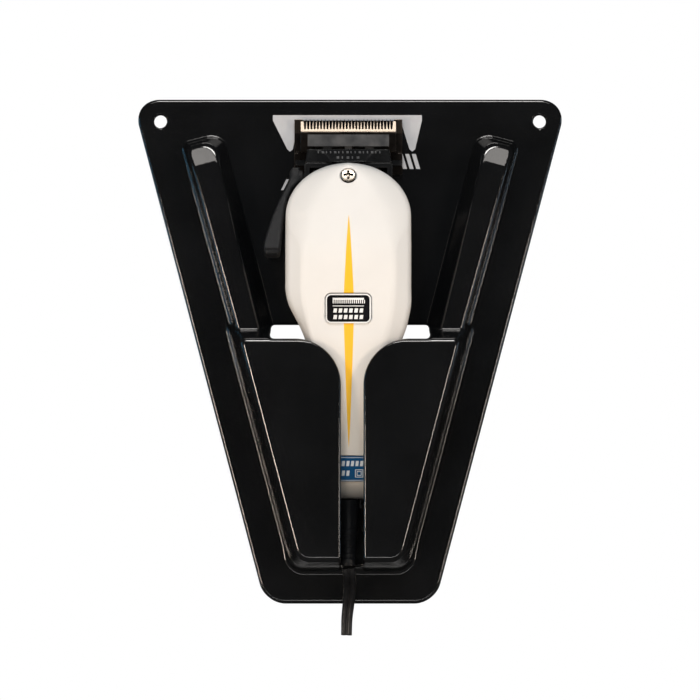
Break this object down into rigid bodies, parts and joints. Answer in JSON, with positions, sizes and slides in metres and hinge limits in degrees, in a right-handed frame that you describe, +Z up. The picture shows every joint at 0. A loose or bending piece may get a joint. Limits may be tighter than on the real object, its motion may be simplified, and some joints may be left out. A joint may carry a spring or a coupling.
{
  "type": "clipper station",
  "caption": "Wall-mounted black formed holder with slanted ribs and a slotted pocket, holding a corded hair clipper that lifts out.",
  "frame": {"origin": "on the wall plane, in the middle of the rear edge of the holder's top rim", "axes": "+X to the right seen from the front, +Y into the wall, +Z up"},
  "size_m": [0.1794, 0.0473, 0.2274],
  "materials": {
    "formed_black": "glossy vacuum-formed sheet",
    "housing_black": "satin moulded",
    "ivory": "glossy moulded",
    "lever_grey": "grained moulded",
    "blade_steel": "ground steel",
    "chrome": "polished plating",
    "lamination": "dark iron",
    "copper_wire": "enamelled winding",
    "nylon": "natural nylon",
    "rating_blue": "printed plate",
    "badge_black": "printed badge",
    "rubber": "soft rubber"
  },
  "bodies": {
    "holder": {"holder_shell": "formed_black", "back_plate": "housing_black"},
    "clipper": {"lower_housing": "housing_black", "upper_cover": "ivory", "nose_piece": "housing_black", "cover_screw": "chrome", "rear_screw": "blade_steel", "fixed_blade": "blade_steel", "blade_screw_left": "blade_steel", "blade_screw_right": "blade_steel", "stator_core": "lamination", "coil_bobbin": "nylon", "coil_winding": "copper_wire", "return_spring_left": "blade_steel", "return_spring_right": "blade_steel", "switch_block": "nylon", "centre_badge": "badge_black", "rating_plate": "rating_blue", "strain_relief": "rubber", "cord": "rubber"},
    "taper_lever": {"taper_lever": "lever_grey", "lever_screw": "chrome"},
    "taper_carriage": {"taper_slide": "lamination"},
    "cutter": {"cutter": "blade_steel"},
    "drive_arm": {"drive_arm": "lamination", "armature": "lamination"},
    "power_screw": {"power_screw": "blade_steel"},
    "switch_button": {"switch_button": "housing_black"},
    "hanger_hook": {"hanger_hook": "chrome"}
  },
  "joints": [
    {"name": "clipper_lift", "type": "slide", "parent": "holder", "child": "clipper", "axis": [0, 0, 1], "range_m": [0, 0.1]},
    {"name": "taper_lever_turn", "type": "hinge", "parent": "clipper", "child": "taper_lever", "pos_m": [-0.0007, -0.0186, -0.0328], "axis": [1, 0, 0], "range_deg": [0, 36]},
    {"name": "taper_slide_move", "type": "slide", "parent": "clipper", "child": "taper_carriage", "axis": [0, 0, 1], "range_m": [-0.0011, 0]},
    {"name": "drive_arm_swing", "type": "hinge", "parent": "clipper", "child": "drive_arm", "pos_m": [-0.0007, -0.016, -0.112], "axis": [0, 1, 0], "range_deg": [-0.7, 0.7]},
    {"name": "cutter_stroke", "type": "slide", "parent": "taper_carriage", "child": "cutter", "axis": [1, 0, 0], "range_m": [-0.0012, 0.0012]},
    {"name": "power_screw_turn", "type": "hinge", "parent": "clipper", "child": "power_screw", "pos_m": [0.0243, -0.016, -0.068], "axis": [1, 0, 0], "range_deg": [-180, 180]},
    {"name": "switch_slide", "type": "slide", "parent": "clipper", "child": "switch_button", "axis": [0, 0, 1], "range_m": [-0.003, 0.003]},
    {"name": "hook_swing", "type": "hinge", "parent": "clipper", "child": "hanger_hook", "pos_m": [0.0059, -0.0205, -0.1696], "axis": [0, -1, 0], "range_deg": [0, 75]}
  ],
  "couplings": [
    {"joint": "taper_slide_move", "follows": "taper_lever_turn", "m_per_rad": -0.0016},
    {"joint": "cutter_stroke", "follows": "drive_arm_swing", "m_per_rad": 0.093}
  ]
}
